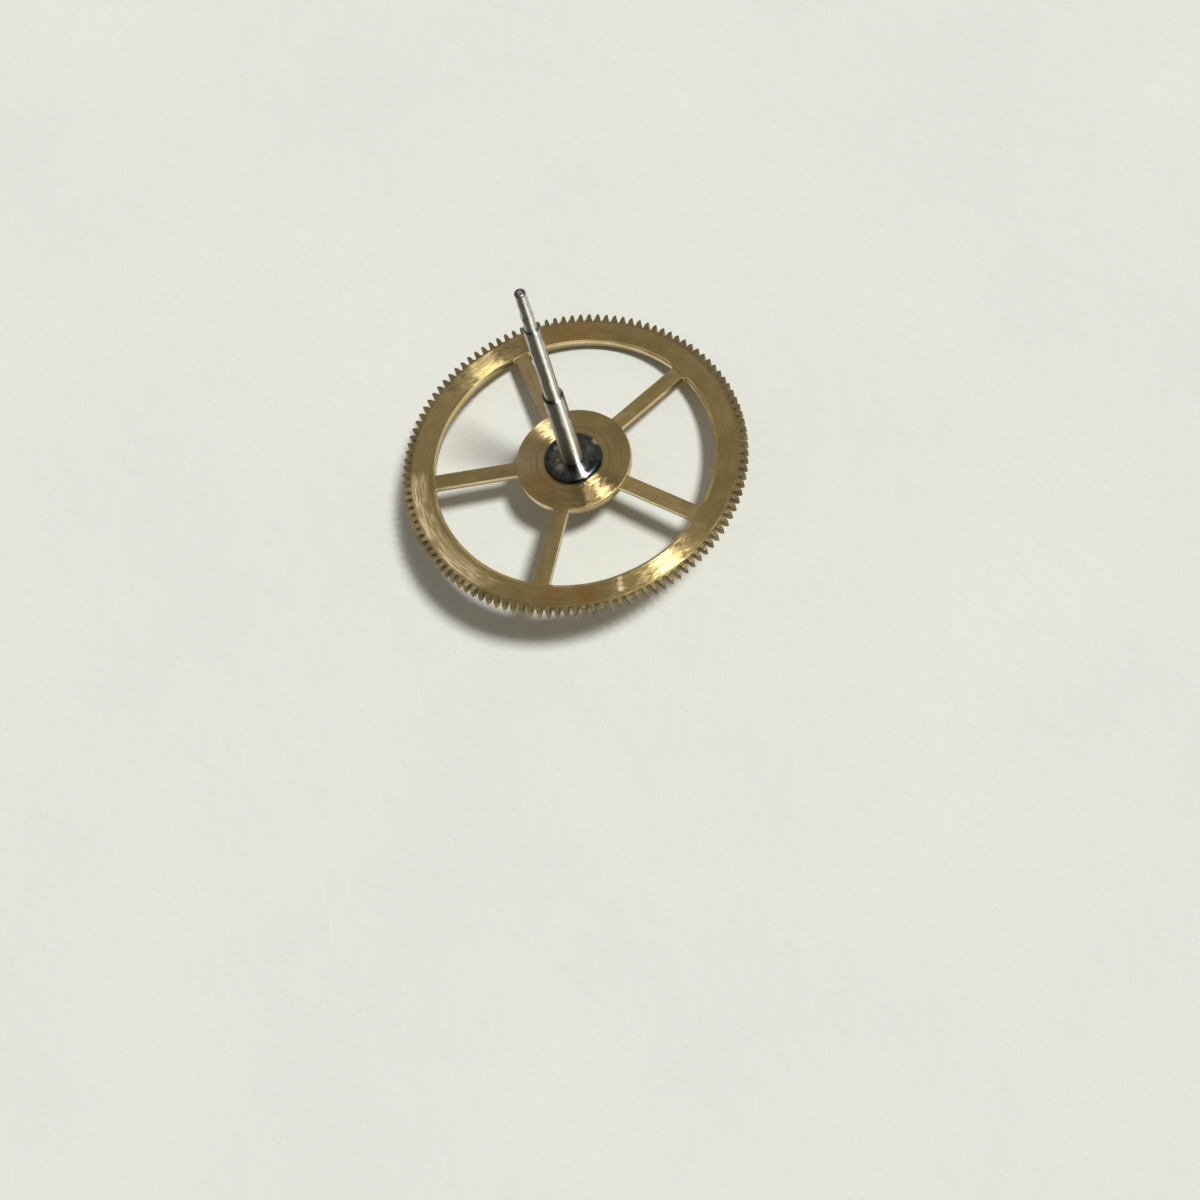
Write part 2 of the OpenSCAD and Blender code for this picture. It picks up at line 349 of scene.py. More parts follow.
def wheel_shell():
    """The toothed rim, the arms and the hub."""
    shell = Shell()
    side = half_tooth(TEETH, PITCH_R, ADDENDUM, DEDENDUM, TOOTH_SHARE, TOOTH_LAND,
                      TOOTH_STEPS, GAP_STEPS)
    outline = gear_row(TEETH, side, math.pi / TEETH)
    cy = ARM_W / 2 + CORNER_R
    hub_x = math.sqrt((HUB_R + CORNER_R) ** 2 - cy * cy)
    rim_x = math.sqrt((RIM_R - CORNER_R) ** 2 - cy * cy)
    hub_a = math.atan2(cy, hub_x)
    rim_a = math.atan2(cy, rim_x)
    rim_turns = circle_turns(rim_a, RIM_ARM_STEPS, RIM_WINDOW_STEPS)
    hub_turns = circle_turns(hub_a, HUB_ARM_STEPS, HUB_WINDOW_STEPS)

    # The faces of the rim and the hub, with their edges
    for up in (1, -1):
        top = MID_Z + up * HALF_T
        level = MID_Z + up * ARM_HALF_T
        tips = [polar(r, a, top) for r, a in outline]
        inner = [polar(ROOT_R - ROOT_BAND_W, a, top) for r, a in outline]
        shell.strip(tips, inner, FACED)
        rounded = []
        for turns, radius, edge_at, outward in (
            (rim_turns, RIM_R, rim_edge, 1),
            (hub_turns, HUB_R, hub_edge, -1),
        ):
            rows = []
            for i in range(EDGE_STEPS + 1):
                t = math.pi / 2 * i / EDGE_STEPS
                row = []
                for a, depth in turns:
                    w, d = edge_at(a, depth)
                    r = radius + outward * w * (1 - math.sin(t))
                    row.append(polar(r, a, top - up * d * (1 - math.cos(t))))
                rows.append(row)
            for upper, lower in zip(rows, rows[1:]):
                shell.strip(upper, lower, EDGE)
            rounded.append(rows[0])
            lower = rows[-1]
            for i, (a, depth) in enumerate(turns):
                j = (i + 1) % len(turns)
                b, next_depth = turns[j]
                if depth < 0 or next_depth < 0:
                    foot = [polar(radius, b, level), polar(radius, a, level)]
                    shell.face([lower[i], lower[j]] + foot, WALL)
        shell.ring(inner, rounded[0], FACED)
        shell.ring(rounded[1], circle(SEAT_R, top, SEAT_SEGMENTS), FACED)

    # The walls of the windows, between the arms
    for turns, radius, edge_at in ((rim_turns, RIM_R, rim_edge), (hub_turns, HUB_R, hub_edge)):
        for i, (a, depth) in enumerate(turns):
            j = (i + 1) % len(turns)
            b, next_depth = turns[j]
            if depth < 0 or next_depth < 0:
                continue
            loop = []
            for angle, d in ((a, depth), (b, next_depth)):
                z = HALF_T - edge_at(angle, d)[1]
                heights = [z, -z] if d > TINY else [z, ARM_HALF_T, -ARM_HALF_T, -z]
                column = [polar(radius, angle, MID_Z + h) for h in heights]
                loop += column if not loop else column[::-1]
            shell.face(loop, WALL)

    # The teeth and the bore
    shell.strip(
        [polar(r, a, PLATE_Z) for r, a in outline],
        [polar(r, a, FACE_Z) for r, a in outline],
        TOOTH,
    )
    shell.strip(
        circle(SEAT_R, PLATE_Z, SEAT_SEGMENTS),
        circle(SEAT_R, FACE_Z, SEAT_SEGMENTS),
        WALL,
    )

    # The side of an arm, from the hub to the rim: places, directions away from the arm, and
    # how far each is from the faces that the arm runs into
    edge = []
    for i in range(CORNER_STEPS + 1):
        a = math.pi + hub_a + (math.pi / 2 - hub_a) * i / CORNER_STEPS
        n = (math.cos(a), math.sin(a))
        edge.append((hub_x + CORNER_R * n[0], cy + CORNER_R * n[1], n, i / CORNER_STEPS))
    for i in range(CORNER_STEPS + 1):
        a = math.pi * 1.5 + (math.pi / 2 + rim_a) * i / CORNER_STEPS
        n = (math.cos(a), math.sin(a))
        edge.append((rim_x + CORNER_R * n[0], cy + CORNER_R * n[1], n, 1 - i / CORNER_STEPS))
    edge = [(x, y, n, ARM_BREAK * smooth(t * ARM_BREAK_BLEND)) for x, y, n, t in edge]

    # The arms
    for k in range(ARMS):
        turn = Matrix.Rotation(TAU * k / ARMS, 3, "Z")

        def placed(x, y, z):
            return tuple(turn @ Vector((x, y, z)))

        for up in (1, -1):
            z = MID_Z + up * ARM_HALF_T
            sides = []
            for flip in (1, -1):
                side_row = [placed(x, flip * y, z - up * b) for x, y, n, b in edge]
                top_row = [placed(x + n[0] * b, flip * (y + n[1] * b), z) for x, y, n, b in edge]
                shell.strip(top_row, side_row, EDGE, closed=False)
                sides.append(top_row)
            shell.strip(sides[0], sides[1], ARM, closed=False)
            for radius, half_a, count in (
                (HUB_R, hub_a, HUB_ARM_STEPS),
                (RIM_R, rim_a, RIM_ARM_STEPS),
            ):
                fan = []
                for i in range(count + 1):
                    a = -half_a + 2 * half_a * i / count
                    fan.append(placed(*polar(radius, a, z)))
                shell.face(fan, ARM)
        for flip in (1, -1):
            walls = []
            for up in (1, -1):
                walls.append([placed(x, flip * y, MID_Z + up * (ARM_HALF_T - b))
                              for x, y, n, b in edge])
            shell.strip(walls[0], walls[1], WALL, closed=False)
    return shell


# The second of the pinion's two materials: the first is the head's
LEAF = 1


def pinion_shell():
    """The leaves under the wheel, the seat in it and the head above it, round a bore."""
    shell = Shell()
    side = half_tooth(LEAVES, LEAF_PITCH_R, LEAF_ADDENDUM, LEAF_DEDENDUM, LEAF_SHARE, LEAF_LAND,
                      LEAF_STEPS, LEAF_GAP_STEPS)
    outline = gear_row(LEAVES, side)

    # The leaves, bevelled at their lower ends, and the two ends between them and the staff
    rows = []
    for i in range(BEVEL_STEPS + 1):
        h = LEAF_BEVEL * i / BEVEL_STEPS
        limit = LEAF_R - LEAF_BEVEL + h
        rows.append([polar(min(r, limit), a, LEAF_Z + h) for r, a in outline])
    rows.append([polar(r, a, PLATE_Z) for r, a in outline])
    for a, b in zip(rows, rows[1:]):
        shell.strip(a, b, LEAF)
    for row, z, inner in ((rows[0], LEAF_Z, ARBOR_R), (rows[-1], PLATE_Z, SEAT_R)):
        middle = [polar(LEAF_CORE_R, math.atan2(p[1], p[0]), z) for p in row]
        shell.strip(row, middle, LEAF)
        shell.ring(middle, circle(inner, z, PINION_SEGMENTS), LEAF)

    def uneven(r, z, a):
        """The head is not quite round."""
        if r < HEAD_UNEVEN_R or z < FACE_Z:
            return 1
        n = noise.noise(Vector((math.cos(a) * HEAD_UNEVEN_SCALE, math.sin(a) * HEAD_UNEVEN_SCALE,
                                HEAD_UNEVEN_SEED)))
        return 1 + HEAD_UNEVEN * n * smooth((r - HEAD_UNEVEN_R) / HEAD_UNEVEN_BLEND)

    # The seat, the head and the bore
    profile = [(SEAT_R, PLATE_Z), (SEAT_R, FACE_Z), (HEAD_R, FACE_Z)]
    wall_h = HEAD_H - HEAD_ROUND_H
    for i in range(HEAD_ROUND_STEPS + 1):
        a = math.pi / 2 * i / HEAD_ROUND_STEPS
        r = HEAD_R - HEAD_ROUND_W * (1 - math.cos(a))
        profile.append((r, FACE_Z + wall_h + HEAD_ROUND_H * math.sin(a)))
    profile += [(HEAD_FLAT_R, HEAD_Z), (ARBOR_R, HEAD_Z), (ARBOR_R, LEAF_Z)]
    shell.turned(profile, PINION_SEGMENTS, uneven)
    return shell


def broken_edge(r, z, up):
    """The small rounded edge of a cylinder, at its lower end, or at its upper one."""
    points = [(r - BREAK, z), (r - BREAK_MID, z + up * BREAK_MID), (r, z + up * BREAK)]
    return points if up > 0 else points[::-1]


def staff_shell():
    """Pivot, arbor, journal, neck, bead, seat for the hand, and tip, turned in one."""
    shell = Shell()
    profile = [(0, 0)]
    profile += broken_edge(PIVOT_R, 0, 1)
    profile.append((PIVOT_R, ARBOR_Z))
    profile += broken_edge(ARBOR_R, ARBOR_Z, 1)
    profile.append((ARBOR_R, HEAD_Z))
    profile += broken_edge(ARBOR_TOP_R, SHOULDER_Z, -1)
    profile.append((JOURNAL_R, SHOULDER_Z))
    profile += broken_edge(JOURNAL_R, NECK_Z, -1)
    for i in range(NECK_STEPS + 1):
        t = i / NECK_STEPS
        r = NECK_R + NECK_HOLLOW * (2 * t - 1) ** 2
        profile.append((r, NECK_Z + (STOP_Z - NECK_Z) * t))
    from_r = NECK_R + NECK_HOLLOW
    swell = (2 * STOP_R - from_r - HAND_R) / 2
    for i in range(1, STOP_STEPS + 1):
        t = i / STOP_STEPS
        r = from_r + (HAND_R - from_r) * t + swell * math.sin(math.pi * t)
        profile.append((r, STOP_Z + (HAND_Z - STOP_Z) * t))
    profile.append((HAND_R, TIP_Z))
    for i in range(END_STEPS):
        a = math.pi / 2 * i / END_STEPS
        profile.append((TIP_R * math.cos(a), TOP_Z - END_ROUND_H * (1 - math.sin(a))))
    profile.append((0, TOP_Z))
    shell.turned(profile, STAFF_SEGMENTS)
    return shell


# Materials

# How far the wide side of a highlight is turned from the marks, as a share of a full turn
ACROSS_THE_MARKS = 0.25
SPOT_BORDER_SCALE = 1.6
SPOT_BORDER_NOISE = (3.0, 0.65)


class Look:
    """A material's nodes. A range is two values and what they turn into, which is 0 and 1
    where it isn't given. A noise is its scale, its detail and its roughness."""

    def __init__(self, name):
        self.material = bpy.data.materials.new(name)
        self.material.use_nodes = True
        self.tree = self.material.node_tree
        self.tree.nodes.clear()
        self.out = self.add("ShaderNodeOutputMaterial")
        coords = self.add("ShaderNodeTexCoord")
        scale = self.add("ShaderNodeVectorMath", operation="SCALE")
        self.link(coords.outputs["Object"], scale.inputs[0])
        scale.inputs["Scale"].default_value = 1 / MM
        self.place = scale.outputs[0]

    def add(self, kind, **settings):
        node = self.tree.nodes.new(kind)
        for key, value in settings.items():
            setattr(node, key, value)
        return node

    def link(self, source, target):
        self.tree.links.new(source, target)

    def feed(self, socket, value):
        """Link another node's output to the socket, or set a plain value."""
        if isinstance(value, bpy.types.NodeSocket):
            self.link(value, socket)
        else:
            socket.default_value = value

    def math(self, operation, *values):
        node = self.add("ShaderNodeMath", operation=operation)
        for socket, value in zip(node.inputs, values):
            self.feed(socket, value)
        return node.outputs[0]

    def plus(self, a, b):
        return self.math("ADD", a, b)

    def minus(self, a, b):
        return self.math("SUBTRACT", a, b)

    def times(self, a, b):
        return self.math("MULTIPLY", a, b)

    def most(self, a, b):
        return self.math("MAXIMUM", a, b)

    def far_from(self, value, level):
        """How far a value is from a level, on either side."""
        return self.math("ABSOLUTE", self.minus(value, level))

    def vector(self, operation, *values):
        node = self.add("ShaderNodeVectorMath", operation=operation)
        for socket, value in zip(node.inputs, values):
            self.feed(socket, value)
        return node.outputs["Value" if operation == "LENGTH" else "Vector"]

    def split(self, vector):
        node = self.add("ShaderNodeSeparateXYZ")
        self.link(vector, node.inputs[0])
        return node.outputs

    def join(self, x, y, z):
        node = self.add("ShaderNodeCombineXYZ")
        for socket, value in zip(node.inputs, (x, y, z)):
            self.feed(socket, value)
        return node.outputs[0]

    def noise(self, vector, scale, detail, rough):
        node = self.add("ShaderNodeTexNoise")
        self.feed(node.inputs["Vector"], vector)
        node.inputs["Scale"].default_value = scale
        node.inputs["Detail"].default_value = detail
        node.inputs["Roughness"].default_value = rough
        return node.outputs[0]

    def marks(self, a, b, c, across, along, detail, rough):
        """Noise over three measures, the first two at one scale and the third at another."""
        place = self.join(self.times(a, across), self.times(b, across), self.times(c, along))
        return self.noise(place, 1.0, detail, rough)

    def ramp(self, value, low, high, to_low=0.0, to_high=1.0):
        """A value taken over a range, smoothly."""
        node = self.add("ShaderNodeMapRange", interpolation_type="SMOOTHSTEP")
        self.feed(node.inputs["Value"], value)
        node.inputs["From Min"].default_value = low
        node.inputs["From Max"].default_value = high
        node.inputs["To Min"].default_value = to_low
        node.inputs["To Max"].default_value = to_high
        return node.outputs[0]

    def shaken(self, value, noise, by):
        """A value made uneven by a noise."""
        return self.plus(value, self.times(self.minus(noise, 0.5), by))

    def towards(self, wx, wy, side):
        """How far a direction points to a side."""
        return self.plus(self.times(wx, side[0]), self.times(wy, side[1]))

    def mix(self, factor, a, b):
        node = self.add("ShaderNodeMix", data_type="RGBA")
        self.feed(node.inputs[0], factor)
        for socket, value in ((node.inputs[6], a), (node.inputs[7], b)):
            if isinstance(value, tuple):
                value = (*value, 1.0)
            self.feed(socket, value)
        return node.outputs[2]

    def bump(self, height, depth_mm):
        node = self.add("ShaderNodeBump")
        self.feed(node.inputs["Height"], height)
        node.inputs["Strength"].default_value = 1.0
        node.inputs["Distance"].default_value = depth_mm * MM
        return node.outputs[0]

    def metal(self, colour, rough, normal, lay=None, metallic=1.0):
        """Metal whose marks run round the axis as strongly as lay says, or in no direction."""
        node = self.add("ShaderNodeBsdfPrincipled")
        self.feed(node.inputs["Base Color"], colour)
        self.feed(node.inputs["Metallic"], metallic)
        self.feed(node.inputs["Roughness"], rough)
        self.feed(node.inputs["Normal"], normal)
        if lay is not None:
            tangent = self.add("ShaderNodeTangent", direction_type="RADIAL", axis="Z")
            self.feed(node.inputs["Anisotropic"], lay)
            node.inputs["Anisotropic Rotation"].default_value = ACROSS_THE_MARKS
            self.link(tangent.outputs[0], node.inputs["Tangent"])
        self.link(node.outputs[0], self.out.inputs["Surface"])
        return self.material

    def spot(self, x, y, size, fade, strength, ragged):
        """A patch round the line at x, y along the axis, with a ragged border."""
        off = self.vector("SUBTRACT", self.place, (x, y, 0.0))
        across, up, _ = self.split(off)
        far = self.vector("LENGTH", self.join(across, up, 0.0))
        border = self.noise(self.place, SPOT_BORDER_SCALE / size, *SPOT_BORDER_NOISE)
        return self.ramp(self.shaken(far, border, ragged), size, size + fade, strength, 0.0)

    def round_axis(self):
        """The distance from the axis, the two parts of the direction away from it, and the
        height."""
        x, y, z = self.split(self.place)
        flat = self.join(x, y, 0.0)
        r = self.vector("LENGTH", flat)
        wx, wy, _ = self.split(self.vector("NORMALIZE", flat))
        return r, wx, wy, z


BRASS = (0.68, 0.52, 0.24)
BRASS_DULL = (0.46, 0.35, 0.155)
BRASS_DARK = (0.24, 0.185, 0.09)
BRASS_RED = (0.66, 0.36, 0.14)
BRASS_PALE = (0.80, 0.68, 0.46)
BRASS_REFLECTION_TAN = (0.93, 0.72, 0.45)
BRASS_PINK = (0.82, 0.60, 0.38)
BRASS_BROWN = (0.38, 0.26, 0.13)
ARM_BROWN = (0.60, 0.45, 0.26)
TOOTH_BRASS = (0.36, 0.28, 0.135)
TOOTH_DARK = (0.18, 0.14, 0.07)
HEAD_BLACK = (0.07, 0.08, 0.08)
HEAD_GREY = (0.17, 0.17, 0.155)
HEAD_RAYS = (0.30, 0.29, 0.26)
HEAD_BORDER = (0.04, 0.046, 0.05)
HEAD_PALE = (0.54, 0.49, 0.47)
HEAD_DARK = (0.02, 0.025, 0.03)
HEAD_REFLECTING = (0.80, 0.84, 0.86)
LEAF_DARK = (0.27, 0.28, 0.29)
LEAF_LIGHT = (0.44, 0.44, 0.43)
STEEL = (0.80, 0.79, 0.75)
STEEL_GREY = (0.52, 0.51, 0.48)
STEEL_BRASS_REFLECTION = (0.20, 0.16, 0.085)
STEEL_SHADE = (0.20, 0.165, 0.13)
STEEL_HOOK = (0.10, 0.085, 0.07)
STEEL_QUIET = (0.30, 0.29, 0.27)
TIP_HIGHLIGHT = (0.70, 0.62, 0.62)
TIP_SHADE = (0.20, 0.17, 0.17)
PAPER_A = (0.80, 0.805, 0.775)
PAPER_B = (0.83, 0.835, 0.80)

# Spots: a place, a size, how far they fade, how strong and how ragged they are.
# Stains on the upper face of the wheel, and dark spots of painted shade that dim the lamp's
# highlights on the hub and the rim, each with its colour first
BRASS_STAINS_AND_SHADE = (
    (BRASS_RED, -2.35, 3.72, 0.35, 0.80, 0.7, 0.9),
    (BRASS_RED, 2.56, -3.52, 0.12, 0.40, 0.85, 0.5),
    (BRASS_RED, 1.70, -4.00, 0.15, 0.50, 0.5, 0.5),
    (BRASS_PINK, -1.15, -0.55, 0.20, 0.60, 0.7, 0.5),
    (BRASS_RED, -0.40, -1.30, 0.20, 0.50, 0.6, 0.6),
    (BRASS_PINK, -1.35, 0.45, 0.15, 0.40, 0.5, 0.4),
    # Painted shade that dims the highlight on the hub
    (BRASS_BROWN, 1.25, -0.50, 0.28, 0.50, 0.9, 0.6),
    (BRASS_DARK, 1.46, -0.40, 0.12, 0.36, 0.8, 0.3),
    # Painted shade that dims the highlights on the rim
    (BRASS_DULL, 4.00, -1.57, 0.30, 0.50, 0.7, 0.8),
    (BRASS_BROWN, -3.30, 2.60, 0.25, 0.40, 0.7, 0.5),
    (BRASS_DARK, -3.88, 2.26, 0.22, 0.35, 0.9, 0.3),
    (BRASS_DARK, -4.20, 1.75, 0.10, 0.25, 0.75, 0.3),
    (BRASS_DARK, -4.40, 1.15, 0.10, 0.25, 0.75, 0.3),
    (BRASS_DARK, -4.52, 0.65, 0.10, 0.25, 0.6, 0.3),
)
# A pale mark across the rim, a painted reflection of the staff's bright side
STAFF_REFLECTION_ON_RIM = (
    (3.12, -2.70, 0.05, 0.06, 0.8, 0.15),
    (3.21, -2.84, 0.05, 0.06, 0.9, 0.15),
    (3.31, -2.97, 0.06, 0.06, 1.0, 0.15),
)
# In the photo's view: a dark patch of painted shade on the edges where the upper left arm meets the
# rim, which dims their glint, painted shade over the left and the bottom arm, and the upper left
# arm stained brown
EDGE_GLINT_SHADE = (-3.10, 2.30, 0.40, 0.25, 0.85, 0.2)
ARM_SHADE = (-1.0, -3.0, 1.6, 1.4, 0.4, 1.0)
ARM_STAIN = (-2.3, 1.9, 1.2, 0.8, 0.6, 1.0)
# Pale steel beside the foot of the staff, a painted reflection of the staff, and blotches on the
# end of the pinion
STAFF_REFLECTION_ON_HEAD = (
    (0.36, -0.17, 0.06, 0.05, 0.9, 0.08),
    (0.45, -0.25, 0.06, 0.05, 0.9, 0.08),
    (0.53, -0.32, 0.05, 0.05, 0.8, 0.08),
    (0.61, -0.37, 0.07, 0.05, 0.9, 0.08),
)
DARK_SPOTS = (
    (0.76, 0.02, 0.14, 0.15, 0.85, 0.2),
    (0.43, -0.68, 0.08, 0.12, 0.8, 0.2),
)
PALE_SPOTS = (
    (-0.57, 0.03, 0.03, 0.05, 0.8, 0.16),
    (-0.14, -0.45, 0.05, 0.07, 0.7, 0.22),
    (-0.30, -0.30, 0.02, 0.06, 0.5, 0.20),
    (0.30, 0.40, 0.03, 0.08, 0.35, 0.20),
    (0.34, 0.73, 0.08, 0.08, 0.9, 0.18),
)

# The turned faces of the wheel. Grooves have a scale along their way and one across it, and
# a weight in the height
LONG_GROOVES = (2.6, 7.0, 1.0, 0.5)
SHORT_GROOVES = (2.4, 10.0, 1.0, 0.5)
FINE_GROOVES = (1.8, 24.0, 2.0, 0.6)
COARSE_WEIGHT = 2.6
FINE_WEIGHT = 1.1
GROOVE_DEPTH = 0.006
TURNED_PATCHES = (0.9, 4.0, 0.6)
PATCH_DULL = (0.38, 0.72, 0.0, 0.7)
PATCH_ROUGH = (0.3, 0.75, 0.265, 0.325)
GROOVE_DULL = (0.42, 0.72, 0.0, 0.55)
UPPER_FADE = 0.02
# The hub is rougher than the rim, and has dark rings
HUB_ROUGHER = 0.045
RING_SCALE = 8.0
RING_NOISE = (1.0, 2.0, 0.6)
RING_DARK = (0.45, 0.65, 0.0, 0.4)
RING_FADE = 0.2
# Dirt at the teeth
DIRT_FROM = 4.62
DIRT_FADE = 0.06
DIRT_MOST = 0.8
DIRT_ROUGHER = 0.2
# How much the face of the rim leans outward, as a slope, and from which radius
RIM_FALL = 0.10
RIM_FALL_FROM = 4.05
# The side where the rim is painted pale, a painted reflection of a bright part of the room, in
# streaks and more so outward, with less shine
PALE_REFLECTION_SIDE = (-0.438, -0.899)
PALE_REFLECTION_RAGGED = 0.6
PALE_REFLECTION_REACH = (0.81, 1.0)
PALE_REFLECTION_FROM_R = (4.1, 4.3)
PALE_REFLECTION_STREAKS = (0.35, 0.6, 1.0, 0.35)
PALE_REFLECTION_OUTWARD = (4.3, 4.6, 0.6, 1.0)
PALE_REFLECTION_LESS_SHINE = 0.75


def turned_brass(name):
    """Brass faced on a lathe: grooves round the axis, a little uneven along their way, with
    stains, dark spots of painted shade over its highlights and pale painted reflections on the
    upper face, and with dirt towards the teeth."""
    look = Look(name)
    r, wx, wy, z = look.round_axis()
    x, y, _ = look.split(look.place)
    long = look.marks(wx, wy, r, *LONG_GROOVES)
    short = look.marks(x, y, r, *SHORT_GROOVES)
    fine = look.marks(x, y, r, *FINE_GROOVES)
    patches = look.noise(look.place, *TURNED_PATCHES)
    upper = look.ramp(z, MID_Z - UPPER_FADE, MID_Z + UPPER_FADE)
    dirt = look.ramp(r, DIRT_FROM, DIRT_FROM + DIRT_FADE, 0.0, DIRT_MOST)

    # Painted reflections: a pale side of the rim, and a pale mark across it
    painted_reflection = look.shaken(look.towards(wx, wy, PALE_REFLECTION_SIDE), patches, PALE_REFLECTION_RAGGED)
    painted_reflection = look.times(look.ramp(painted_reflection, *PALE_REFLECTION_REACH), look.ramp(r, *PALE_REFLECTION_FROM_R))
    streaks = look.times(look.ramp(fine, *PALE_REFLECTION_STREAKS), look.ramp(r, *PALE_REFLECTION_OUTWARD))
    painted_reflection = look.times(painted_reflection, streaks)
    # The painted reflection of the staff on the rim
    for spot in STAFF_REFLECTION_ON_RIM:
        painted_reflection = look.most(painted_reflection, look.spot(*spot))
    painted_reflection = look.times(painted_reflection, upper)

    rings = look.noise(look.join(0.0, 0.0, look.times(r, RING_SCALE)), *RING_NOISE)
    on_hub = look.ramp(r, HUB_R, HUB_R + RING_FADE, 1.0, 0.0)
    rings = look.times(look.ramp(rings, *RING_DARK), on_hub)

    colour = look.mix(look.ramp(patches, *PATCH_DULL), BRASS, BRASS_DULL)
    # Stains, and spots of painted shade over the highlights
    for stain_and_shade, *spot in BRASS_STAINS_AND_SHADE:
        colour = look.mix(look.times(look.spot(*spot), upper), colour, stain_and_shade)
    # The pale colour of the painted reflections
    colour = look.mix(painted_reflection, colour, BRASS_REFLECTION_TAN)
    colour = look.mix(look.ramp(fine, *GROOVE_DULL), colour, BRASS_DULL)
    colour = look.mix(rings, colour, BRASS_BROWN)
    colour = look.mix(dirt, colour, BRASS_DARK)

    height = look.plus(look.times(long, COARSE_WEIGHT), look.times(short, COARSE_WEIGHT))
    height = look.plus(height, look.times(fine, FINE_WEIGHT))
    outer = look.most(look.minus(r, RIM_FALL_FROM), 0.0)
    height = look.minus(height, look.times(outer, RIM_FALL / GROOVE_DEPTH))

    rough = look.plus(look.ramp(patches, *PATCH_ROUGH), look.times(dirt, DIRT_ROUGHER))
    rough = look.plus(rough, look.ramp(r, HUB_R, RIM_R, HUB_ROUGHER, 0.0))
    clean = look.minus(1.0, dirt)
    shine = look.minus(1.0, look.times(painted_reflection, PALE_REFLECTION_LESS_SHINE))
    return look.metal(colour, rough, look.bump(height, GROOVE_DEPTH), clean, shine)


# The arms
ARM_GRAIN = (34.0, 1.1, 3.0, 0.6)
ARM_GRAIN_DEPTH = 0.0015
ARM_PATCHES = (1.5, 4.0, 0.6)
ARM_DULL = (0.35, 0.7)
ARM_ROUGH = (0.3, 0.75, 0.33, 0.42)
ARM_BROWN_NOISE = (1.1, 4.0, 0.65)
ARM_BROWN_SHIFT = (3.0, 8.0, 1.0)
ARM_BROWN_RANGE = (0.42, 0.68, 0.0, 0.6)
ARM_GRAIN_DARK = (0.45, 0.75, 0.0, 0.35)


def arm_brass(name):
    """The arms, filed lengthwise and a little stained."""
    look = Look(name)
    r, wx, wy, _ = look.round_axis()
    grain = look.marks(wx, wy, r, *ARM_GRAIN)
    patches = look.noise(look.place, *ARM_PATCHES)
    brown = look.noise(look.vector("ADD", look.place, ARM_BROWN_SHIFT), *ARM_BROWN_NOISE)
    colour = look.mix(look.ramp(patches, *ARM_DULL), BRASS, BRASS_DULL)
    colour = look.mix(look.ramp(brown, *ARM_BROWN_RANGE), colour, BRASS_BROWN)
    colour = look.mix(look.spot(*ARM_SHADE), colour, BRASS_DARK)
    colour = look.mix(look.spot(*ARM_STAIN), colour, ARM_BROWN)
    colour = look.mix(look.ramp(grain, *ARM_GRAIN_DARK), colour, BRASS_DARK)
    return look.metal(colour, look.ramp(patches, *ARM_ROUGH), look.bump(grain, ARM_GRAIN_DEPTH))


# The walls, the edges and the teeth. The walls have painted shade below a given height
PLAIN_PATCHES = (1.4, 4.0, 0.6)
PLAIN_PATCH_RANGE = (0.35, 0.65)
PLAIN_MARKS = (3.0, 0.6)
PLAIN_MARK_RANGE = (0.5, 0.75, 0.0, 0.3)
PLAIN_ROUGH_RANGE = (0.3, 0.7)
SMOOTHER = 0.04
ROUGHER = 0.06
WALL_SHADE_BELOW = MID_Z - 0.01
WALL_SHADE_RAGGED = 0.06
WALL_SHADE_FADE = 0.02
WALL_SHADE_MOST = 0.8


def plain_brass(name, colour_a, colour_b, rough, grain, depth, painted_shade_below=None, stain_and_shade=None):
    """Brass that was cut or filed and then left, with painted shade below a given height or in one
    place.
    """
    look = Look(name)
    patches = look.noise(look.place, *PLAIN_PATCHES)
    marks = look.noise(look.place, grain, *PLAIN_MARKS)
    colour = look.mix(look.ramp(patches, *PLAIN_PATCH_RANGE), colour_a, colour_b)
    colour = look.mix(look.ramp(marks, *PLAIN_MARK_RANGE), colour, colour_b)
    # Painted shade on the lower part of the walls
    if painted_shade_below is not None:
        _, _, z = look.split(look.place)
        z = look.shaken(z, marks, WALL_SHADE_RAGGED)
        painted_shade = look.ramp(z, painted_shade_below - WALL_SHADE_FADE, painted_shade_below + WALL_SHADE_FADE, WALL_SHADE_MOST, 0.0)
        colour = look.mix(painted_shade, colour, BRASS_DARK)
    # Painted shade in one place, dimming a glint
    if stain_and_shade is not None:
        colour = look.mix(look.spot(*stain_and_shade), colour, BRASS_DARK)
    rough_here = look.ramp(marks, *PLAIN_ROUGH_RANGE, rough - SMOOTHER, rough + ROUGHER)
    return look.metal(colour, rough_here, look.bump(marks, depth))


# The end of the pinion
HEAD_PATCHES = (3.4, 4.0, 0.65)
HEAD_PATCH_RANGE = (0.35, 0.62)
HEAD_PATCH_WEIGHT = 2.0
HEAD_RAY_MARKS = (7.0, 2.5, 3.0, 0.65)
HEAD_RAY_RANGE = (0.48, 0.66, 0.0, 0.6)
HEAD_BORDER_RANGE = (0.56, 0.70, 0.0, 0.7)
HEAD_ROUGH = (0.5, 0.7, 0.22, 0.31)
HEAD_DEPTH = 0.003


